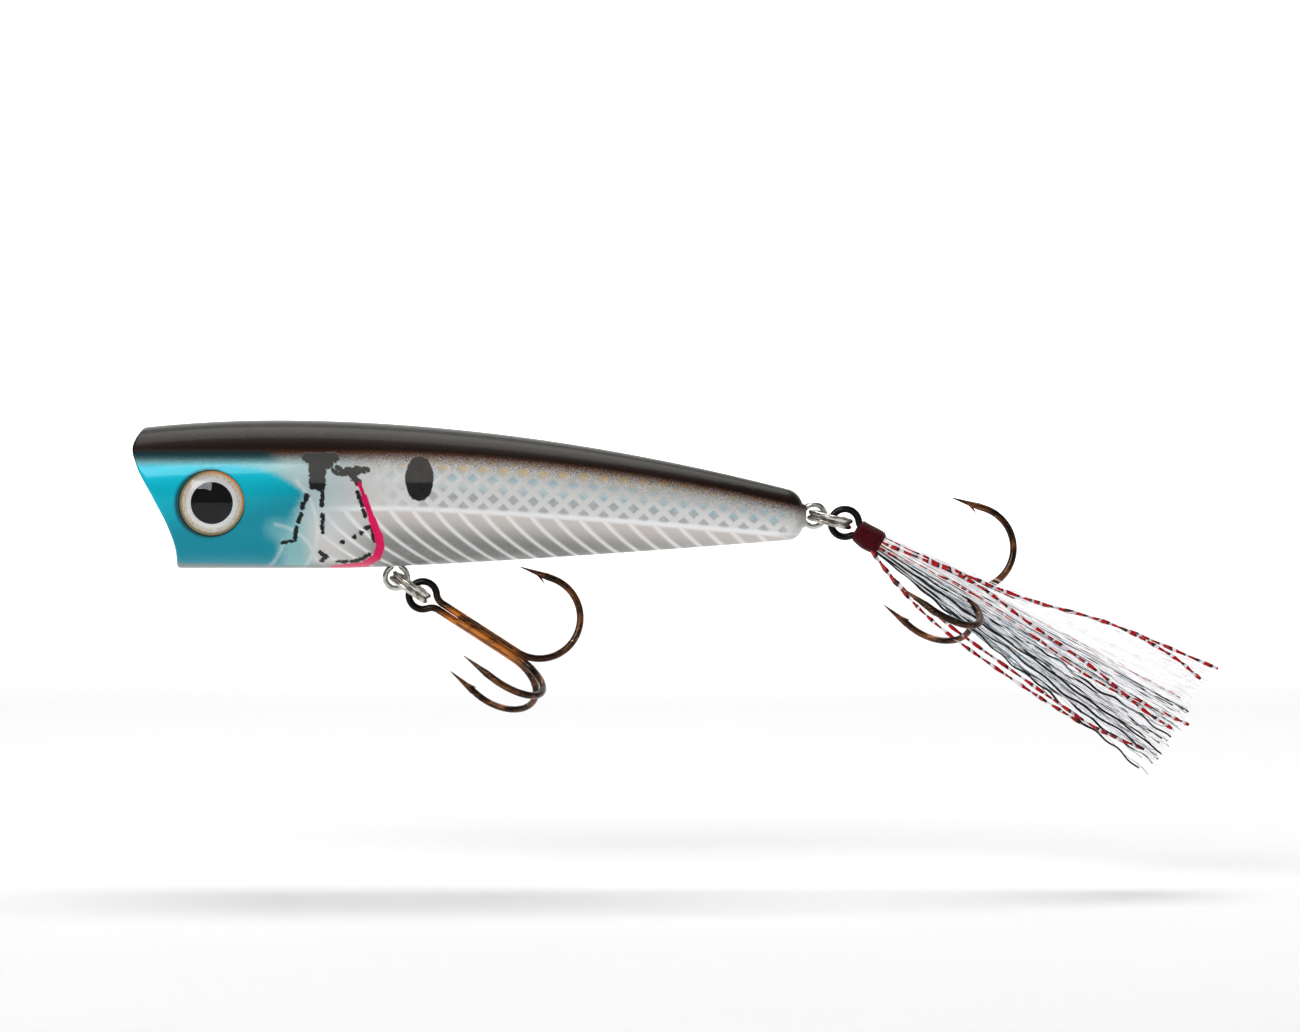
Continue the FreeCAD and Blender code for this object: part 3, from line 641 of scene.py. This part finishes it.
def paintEye():
    # painted light: the foil glows faintly in its own colours, to brighten it under the lens
    foil = Finish("eyeFoil", Specular_IOR_Level=0.1, Emission_Strength=0.2)
    x, y, z, spot = foil.place()
    low, high = bodyBox("left_eye_foil")
    centre = (low + high) / 2
    across, up = x - centre.x, z - centre.z
    away = (across * across + up * up).root()
    flecks = foil.noise(spot, 5.0, 3.0, 0.7)
    pearl = foil.mix(foil.step(flecks, 0.4, 0.62), eye["pearl"], eye["pearlShift"])
    warm = foil.step(across * 0.75 + up * 0.65, 0.8, 3.2)
    rim = foil.mix(warm, eye["rim"], eye["rimOrange"])
    outside = foil.step(away, eye["pupilRadius"] - 0.04, eye["pupilRadius"] + 0.04)
    colour = foil.mix(outside, eye["pupil"], eye["innerRing"])
    colour = foil.mix(foil.step(away, eye["ringRadius"] - 0.08, eye["ringRadius"] + 0.1), colour, pearl)
    colour = foil.mix(foil.step(away, eye["pearlRadius"] - 0.15, eye["pearlRadius"] + 0.18), colour, rim)
    # the emission colour gives the foil its painted glow
    foil.feed(Base_Color=colour, Emission_Color=colour, Metallic=foil.step(away, 2.45, 2.55) * 0.1,
              Roughness=0.25 + flecks * 0.2)
    foil.bump(flecks * foil.step(away, 2.45, 2.6), 0.08, 0.0001)
    return foil


# clear dome: see-through, with a glossy skin that grows towards its edge
def clearLens():
    lens = Finish("eyeLens", Base_Color=(0.95, 0.97, 1.0), Metallic=1.0)
    spot = lens.place()[3]
    lens.feed(Roughness=0.02 + lens.noise(spot, 1.6, 2.0) * 0.04)
    skin = lens.node("ShaderNodeFresnel", IOR=1.5)
    clear = lens.node("ShaderNodeBsdfTransparent")
    both = lens.node("ShaderNodeMixShader", i0=skin * 0.62, i1=clear,
                     i2=Value(lens.tree, lens.shader.outputs[0]))
    plug(lens.tree, lens.tree.nodes["Material Output"].inputs[0], both)
    return lens


dress(paintEye(), "left_eye_foil", "right_eye_foil")
dress(clearLens(), "left_eye_lens", "right_eye_lens")
print("eyes made")

metals = {
    "steel": tint(206, 206, 204), "steelDull": tint(150, 148, 144),
    "nickel": tint(214, 210, 202), "nickelDull": tint(122, 116, 108),
    "bronzeDark": tint(44, 27, 18), "bronze": tint(112, 70, 43), "copper": tint(214, 126, 46),
    "brassWorn": tint(176, 128, 84), "eyeBlack": tint(22, 18, 16),
    "braze": tint(120, 76, 40), "ball": tint(150, 150, 152), "lead": tint(92, 94, 98),
}


def plainMetal(name, bright, dull, roughness, scale):
    metal = Finish(name, Metallic=1.0)
    spot = metal.place()[3]
    tarnish = metal.noise(spot, scale, 4.0, 0.6)
    scratches = metal.noise(spot, scale * 7, 2.0, 0.5)
    colour = metal.mix(metal.step(tarnish, 0.42, 0.72), bright, dull)
    metal.feed(Base_Color=colour, Roughness=roughness + tarnish * 0.16)
    metal.bump(scratches, 0.06, 0.00005)
    return metal


# each hook's eye (x, z), and how many degrees its shank drops below level
hookPlaces = {"belly": ((29.302, -11.302), 33.0), "tail": ((79.265, -2.717), 31.0)}


def bronzeHook(where):
    (eyeX, eyeZ), drop = hookPlaces[where]
    bronze = Finish(where + "HookBronze", Metallic=1.0, Coat_Weight=0.25, Coat_Roughness=0.12)
    x, y, z, spot = bronze.place()
    c, s = math.cos(math.radians(drop)), math.sin(math.radians(drop))
    along = (x - eyeX) * c - (z - eyeZ) * s
    stain = bronze.noise(bronze.vector(along * 0.22, y * 0.8, z * 0.35), 1.3, 4.0, 0.6)
    colour = bronze.mix(bronze.step(stain, 0.42, 0.66), metals["bronzeDark"], metals["bronze"])
    worn = bronze.noise(bronze.vector(x * 0.3, y * 2.0, z * 2.0), 1.6, 3.0, 0.7)
    colour = bronze.mix(bronze.step(worn, 0.58, 0.7) * 0.7, colour, metals["brassWorn"])
    across = abs((x - eyeX) * s + (z - eyeZ) * c)
    shank = bronze.step(along, 2.4, 4.6) * (1.0 - bronze.step(along, 11.0, 15.0))
    shank = shank * (1.0 - bronze.step(across, 0.9, 1.5))
    colour = bronze.mix(shank * bronze.step(stain, 0.34, 0.58), colour, metals["copper"])
    colour = bronze.mix(1.0 - bronze.step(along, 0.8, 2.8), colour, metals["eyeBlack"])
    bronze.feed(Base_Color=colour, Roughness=0.2 + stain * 0.2)
    bronze.bump(bronze.noise(spot, 6.0, 3.0), 0.08, 0.00005)
    return bronze


dress(plainMetal("hangerSteel", metals["steel"], metals["steelDull"], 0.12, 1.3),
      "line_tie", "belly_hook_hanger", "tail_hook_hanger")
dress(plainMetal("ringNickel", metals["nickel"], metals["nickelDull"], 0.14, 1.0),
      "belly_split_ring", "tail_split_ring")
for where in ("belly", "tail"):
    dress(bronzeHook(where), where + "_double_hook", where + "_single_hook")
dress(plainMetal("hookBraze", metals["braze"], metals["bronzeDark"], 0.3, 1.5),
      "belly_hook_braze", "tail_hook_braze")
dress(plainMetal("rattleSteel", metals["ball"], metals["steelDull"], 0.15, 0.8),
      "rattle_ball_1", "rattle_ball_2", "rattle_ball_3")
dress(plainMetal("ballastLead", metals["lead"], metals["steelDull"], 0.5, 0.7), "tail_ballast")
print("metal made")


# the dressing is laid out along the tail hook's shank: x along it, z up from it
(tailX, tailZ), tailDrop = hookPlaces["tail"]
tailTurn = Matrix.Translation((tailX, 0.0, tailZ)) @ Matrix.Rotation(math.radians(tailDrop), 4, "Y")

wrap = {"start": 1.5, "length": 3.45, "radius": 1.24, "bulge": 0.16, "flare": 0.05, "offset": -0.193,
        "thread": 0.27, "ridge": 0.12, "lumps": 0.10, "rows": 170, "columns": 64,
        "colour": tint(86, 0, 12), "shade": tint(24, 0, 4), "shine": tint(138, 8, 26)}


def makeWrap():
    chance = random.Random(4)
    waves = [(chance.uniform(0.6, 2.4), chance.randint(1, 3), chance.uniform(0, 6.28)) for _ in range(5)]
    points = []
    for r in range(wrap["rows"]):
        t = r / (wrap["rows"] - 1)
        x = wrap["start"] + wrap["length"] * t
        base = wrap["radius"] + wrap["bulge"] * math.sin(math.pi * t) + wrap["flare"] * t
        base *= min(1.0, 0.62 + 4.0 * t, 0.80 + 3.0 * (1 - t))
        for c in range(wrap["columns"]):
            angle = 2 * math.pi * c / wrap["columns"]
            turns = x / wrap["thread"] + angle / (2 * math.pi) + 0.12 * math.sin(angle * 2 + x)
            ridge = wrap["ridge"] * abs(math.sin(math.pi * turns)) ** 0.7
            lumps = wrap["lumps"] * sum(math.sin(k * x + n * angle + shift) for k, n, shift in waves) / 3
            radius = base + ridge + lumps
            spot = Vector((x, wrap["offset"] + radius * math.cos(angle), radius * math.sin(angle)))
            points.append(tailTurn @ spot * mm)
    faces = gridFaces(wrap["rows"], wrap["columns"], closed=True)
    last = (wrap["rows"] - 1) * wrap["columns"]
    faces.append(tuple(range(wrap["columns"])))
    faces.append(tuple(last + k for k in reversed(range(wrap["columns"]))))
    thread = Finish("woundThread", Specular_IOR_Level=0.12)
    spot = thread.place()[3]
    fibre = thread.noise(spot, 4.5, 3.0, 0.7)
    colour = thread.mix(thread.step(fibre, 0.35, 0.6), wrap["shade"], wrap["colour"])
    colour = thread.mix(thread.step(fibre, 0.62, 0.75) * 0.5, colour, wrap["shine"])
    thread.feed(Base_Color=colour, Roughness=0.35 + fibre * 0.25)
    thread.bump(thread.noise(spot, 11.0, 2.0), 0.2, 0.0001)
    piece = makePiece("threadWrap", points, faces, thread, "tail_treble")
    tidy(piece)
    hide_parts("tail_thread_wrap")


makeWrap()
print("thread wrap made")

# where along the shank the fan starts and ends
fanRoot, fanEnd = 4.2, 46.2
# each kind of fibre: how many, how thick, where in the fan (y and z at the cut end), its waves and colours
fibres = {
    "whiteHackle": {
        "node": "tail_white_hackle", "slot": "white_hair", "count": 170, "radius": (0.05, 0.05), "sides": 4,
        "wide": 4.6, "low": -5.6, "high": 7.6, "lean": 1.15, "wave": 0.10, "waveLength": 16.0, "steps": 14,
        "short": 3.6, "seed": 11, "pale": tint(252, 252, 252), "shade": tint(206, 206, 214)},
    "blackFlash": {
        "node": "tail_black_flash", "slot": "black_flash", "count": 21, "radius": (0.15, 0.11), "sides": 5,
        "wide": 4.8, "low": -7.3, "high": 1.8, "lean": 1.1, "wave": 0.13, "waveLength": 3.6, "steps": 72,
        "short": 3.0, "seed": 23, "shade": tint(7, 8, 10), "glint": tint(104, 112, 126)},
    "pearlFlash": {
        "node": "tail_pearl_flash", "slot": "pearl_flash", "count": 30, "radius": (0.11, 0.025), "sides": 4,
        "wide": 4.0, "low": -7.0, "high": 3.0, "lean": 1.0, "wave": 0.16, "waveLength": 3.6, "steps": 44,
        "short": 9.0, "seed": 37,
        "shifts": [(0.3, tint(96, 190, 168)), (0.45, tint(214, 226, 232)), (0.55, tint(226, 222, 236)),
                   (0.68, tint(120, 200, 216)), (0.8, tint(196, 214, 120))]},
}


def fanPath(kind, chance, endY, endZ, share):
    rootAngle = math.atan2(endZ + chance.uniform(-1, 1), endY + 0.001)
    rootRadius = chance.uniform(0.72, 1.12)
    start = Vector((fanRoot, wrap["offset"] + rootRadius * math.cos(rootAngle),
                    rootRadius * math.sin(rootAngle)))
    end = Vector((fanRoot + (fanEnd - fanRoot) * share, endY * share, endZ * share))
    bow = Vector((0.0, chance.gauss(0, 0.35), chance.gauss(0, 0.35)))
    phase, phaseUp = chance.uniform(0, 6.28), chance.uniform(0, 6.28)
    length = (end - start).length * chance.uniform(0.6, 1.35)
    wave = kind["wave"] * chance.uniform(0.35, 1.3)
    path = []
    for i in range(kind["steps"] + 1):
        t = i / kind["steps"]
        spot = start.lerp(end, t) + bow * math.sin(math.pi * t)
        turn = 2 * math.pi * length * t / kind["waveLength"]
        grow = wave * min(1.0, t * 4)
        crimp = math.sin(turn * 0.93 + phaseUp) + math.sin(turn * 0.31 + phase)
        spot += Vector((0.0, grow * math.sin(turn + phase), grow * crimp))
        path.append(spot)
    return path


def makeFibres(name, kind, finish):
    chance = random.Random(kind["seed"])
    points, faces = [], []
    for _ in range(kind["count"]):
        endZ = kind["low"] + (kind["high"] - kind["low"]) * chance.random() ** kind["lean"]
        middle = (kind["low"] + kind["high"]) / 2
        room = math.sqrt(max(0.05, 1 - ((endZ - middle) / (kind["high"] - middle + 0.6)) ** 2))
        endY = chance.uniform(-1, 1) * kind["wide"] * room
        cutShort = kind["short"] * chance.random() ** 2.2 / (fanEnd - fanRoot)
        share = 1 - cutShort + chance.uniform(-0.012, 0.012)
        path = fanPath(kind, chance, endY, endZ, share)
        wide, thick = kind["radius"]
        radii = [(wide * (1 - 0.5 * max(0, i / kind["steps"] - 0.8)), thick) for i in range(len(path))]
        addTube(points, faces, path, radii, kind["sides"], 0.09)
    piece = makePiece(name, [tailTurn @ p * mm for p in points], faces, finish, "tail_treble")
    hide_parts(kind["node"])
    print(name, len(faces), "faces")


def whiteHair():
    # painted light: the hair glows faintly white, to brighten it where the fibres shade one another
    hair = Finish("whiteHair", Coat_Weight=0.3, Emission_Color=(1.0, 1.0, 1.0), Emission_Strength=0.3)
    spot = hair.place()[3]
    streak = hair.noise(spot, 0.8, 3.0, 0.6)
    kind = fibres["whiteHackle"]
    colour = hair.mix(hair.step(streak, 0.35, 0.7), kind["pale"], kind["shade"])
    hair.feed(Base_Color=colour, Alpha=0.4 + streak * 0.35, Roughness=0.3 + streak * 0.15)
    hair.bump(hair.noise(spot, 6.0, 2.0), 0.1, 0.00005)
    return hair


def blackTinsel():
    tinsel = Finish("blackTinsel", Coat_Weight=0.1, Specular_IOR_Level=0.25)
    spot = tinsel.place()[3]
    glint = tinsel.noise(spot, 1.7, 3.0, 0.7)
    kind = fibres["blackFlash"]
    colour = tinsel.mix(tinsel.step(glint, 0.6, 0.8), kind["shade"], kind["glint"])
    tinsel.feed(Base_Color=colour, Metallic=tinsel.step(glint, 0.56, 0.7) * 0.4, Roughness=0.25 + glint * 0.2)
    return tinsel


def pearlTinsel():
    pearl = Finish("pearlTinsel", Coat_Weight=1.0, Coat_Roughness=0.05)
    spot = pearl.place()[3]
    shift = pearl.noise(spot, 1.0, 2.0, 0.6)
    colour = pearl.ramp(shift, fibres["pearlFlash"]["shifts"])
    pearl.feed(Base_Color=colour, Metallic=0.25 + shift * 0.4, Roughness=0.15 + shift * 0.15,
               Alpha=0.5 + shift * 0.35)
    return pearl


# twisted strands in red, black and clear; a run is how far the strand is to the side at its end,
# and its points (x, z) along the fan
redStrands = {
    "runs": [(1.6, [(4.2, 0.9), (12.5, 1.8), (21.0, 2.6), (32.7, 5.8), (46.9, 7.9)]),
             (-1.9, [(4.2, 0.7), (14.0, 1.9), (23.0, 3.4), (33.0, 6.0), (40.9, 6.5), (45.5, 5.9)]),
             (-3.6, [(4.2, -0.6), (15.0, 0.6), (25.0, 0.2), (34.0, -0.6), (43.0, 0.2), (47.0, 0.6)]),
             (-4.2, [(4.2, 0.2), (16.0, 1.8), (24.0, 1.2), (34.0, 0.5), (41.0, -0.6), (45.5, -0.8)]),
             (-3.2, [(4.2, -1.1), (9.3, -2.9), (16.0, -3.9), (25.5, -4.7), (37.6, -5.4), (44.0, -4.6)]),
             (-1.4, [(4.2, -1.2), (10.0, -3.4), (17.0, -4.9), (28.0, -5.7), (36.3, -5.9)]),
             (3.4, [(4.2, 0.5), (16.0, 1.5), (30.0, 2.0), (45.0, 2.5)]),
             (3.0, [(4.2, -0.8), (16.0, -1.5), (30.0, -2.2), (44.0, -3.0)])],
    "width": 0.24, "thickness": 0.14, "twist": 1.1, "dash": 1.6, "steps": 110,
    "red": tint(172, 2, 14), "dark": tint(44, 2, 8), "clear": tint(236, 230, 234),
}


# smooth path through a few points
def smoothPath(points, steps):
    held = [2 * points[0] - points[1]] + points + [2 * points[-1] - points[-2]]
    path = []
    for i in range(steps + 1):
        place = i / steps * (len(points) - 1)
        k = min(int(place), len(points) - 2)
        t = place - k
        a, b, c, d = held[k:k + 4]
        path.append(0.5 * (2 * b + (c - a) * t + (2 * a - 5 * b + 4 * c - d) * t * t
                           + (3 * b - a - 3 * c + d) * t ** 3))
    return path


def makeRedStrands():
    red = Finish("redTwist", Coat_Weight=0.2, Specular_IOR_Level=0.3)
    x, y, z, spot = red.place()
    along = (x - tailX) * math.cos(math.radians(tailDrop)) - (z - tailZ) * math.sin(math.radians(tailDrop))
    dash = (along * (1 / redStrands["dash"]) + red.noise(spot, 0.3, 1.0) * 2.2).part()
    colour = red.mix(red.step(dash, 0.7, 0.74), redStrands["red"], redStrands["clear"])
    shaded = red.step(dash, 0.5, 0.54) * (1.0 - red.step(dash, 0.68, 0.72))
    colour = red.mix(shaded, colour, redStrands["dark"])
    red.feed(Base_Color=colour, Alpha=1.0 - red.step(dash, 0.7, 0.76) * 0.55, Roughness=0.2 + dash * 0.1)
    points, faces = [], []
    for aside, run in redStrands["runs"]:
        knots = [Vector((x, wrap["offset"] + aside * (0.22 + 0.78 * (x - fanRoot) / (fanEnd - fanRoot)), z))
                 for x, z in run]
        path = smoothPath(knots, redStrands["steps"])
        section = (redStrands["width"], redStrands["thickness"])
        addTube(points, faces, path, [section] * len(path), 6, redStrands["twist"] / 3)
    places = [tailTurn @ p * mm for p in points]
    piece = makePiece("redTwistStrands", places, faces, red, "tail_treble")
    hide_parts("tail_red_flash")


makeFibres("whiteHackle", fibres["whiteHackle"], whiteHair())
makeFibres("blackFlash", fibres["blackFlash"], blackTinsel())
makeFibres("pearlFlash", fibres["pearlFlash"], pearlTinsel())
makeRedStrands()
print("dressing made")


studio = {"aim": (0.0562, 0.0, -0.0019), "distance": 1.2, "elevation": 3.0, "frameWidth": 0.15385,
          "sensor": 36.0, "floor": -0.0464, "world": 0.16,
          "floorShade": (0.93, 0.93, 0.93), "floorPale": (0.96, 0.96, 0.96)}
# each light's name, place, aim, size and power
studioLights = [
    ("overhead", (0.05, 0.22, 0.7), (0.05, 0.0, 0.0), (0.55, 0.5), 4.1),
    ("frontSoftbox", (-0.45, -1.1, 0.68), (0.05, 0.0, 0.0), (0.9, 0.35), 8.5),
    ("sideFill", (0.9, -0.5, 0.35), (0.05, 0.0, 0.0), (0.4, 0.4), 0.6),
    ("backdropLight", (0.0, 1.0, 1.2), (0.0, 3.0, 0.1), (3.0, 1.0), 90.0),
]


def makeStudio():
    # floor that curves up into a backdrop
    depth = [(-2.2, 0.0), (2.0, 0.0), (2.5, 0.08), (2.9, 0.35), (3.1, 0.8), (3.15, 3.0)]
    points = [(x, y, studio["floor"] + z) for y, z in depth for x in (-4.0, 4.0)]
    faces = gridFaces(len(depth), 2)
    floorPaint = Finish("paleFloor", Roughness=0.9, Specular_IOR_Level=0.05)
    spot = floorPaint.place()[3]
    mottle = floorPaint.noise(spot, 0.02, 2.0)
    floorPaint.feed(Base_Color=floorPaint.mix(mottle, studio["floorShade"], studio["floorPale"]))
    mesh = bpy.data.meshes.new("floor")
    mesh.from_pydata(points, [], faces)
    mesh.materials.append(floorPaint.material)
    floor = bpy.data.objects.new("floor", mesh)
    bpy.context.collection.objects.link(floor)

    for name, place, aim, size, power in studioLights:
        lamp = bpy.data.lights.new(name, "AREA")
        lamp.shape, lamp.size, lamp.size_y, lamp.energy = "RECTANGLE", size[0], size[1], power
        holder = bpy.data.objects.new(name, lamp)
        holder.location = place
        holder.rotation_euler = (Vector(aim) - Vector(place)).to_track_quat("-Z", "Y").to_euler()
        bpy.context.collection.objects.link(holder)

    world = bpy.data.worlds.new("studio")
    world.use_nodes = True
    world.node_tree.nodes["Background"].inputs["Color"].default_value = (1.0, 1.0, 1.0, 1.0)
    world.node_tree.nodes["Background"].inputs["Strength"].default_value = studio["world"]
    bpy.context.scene.world = world
    bpy.context.scene.view_settings.view_transform = "Standard"

    lens = bpy.data.cameras.new("camera")
    camera = bpy.data.objects.new("camera", lens)
    tip = math.radians(studio["elevation"])
    back = Vector((0.0, -math.cos(tip), math.sin(tip)))
    camera.location = Vector(studio["aim"]) + back * studio["distance"]
    camera.rotation_euler = (math.pi / 2 - tip, 0.0, 0.0)
    lens.sensor_width = studio["sensor"]
    lens.lens = studio["sensor"] * studio["distance"] / studio["frameWidth"]
    bpy.context.collection.objects.link(camera)
    bpy.context.scene.camera = camera


makeStudio()
print("studio made")
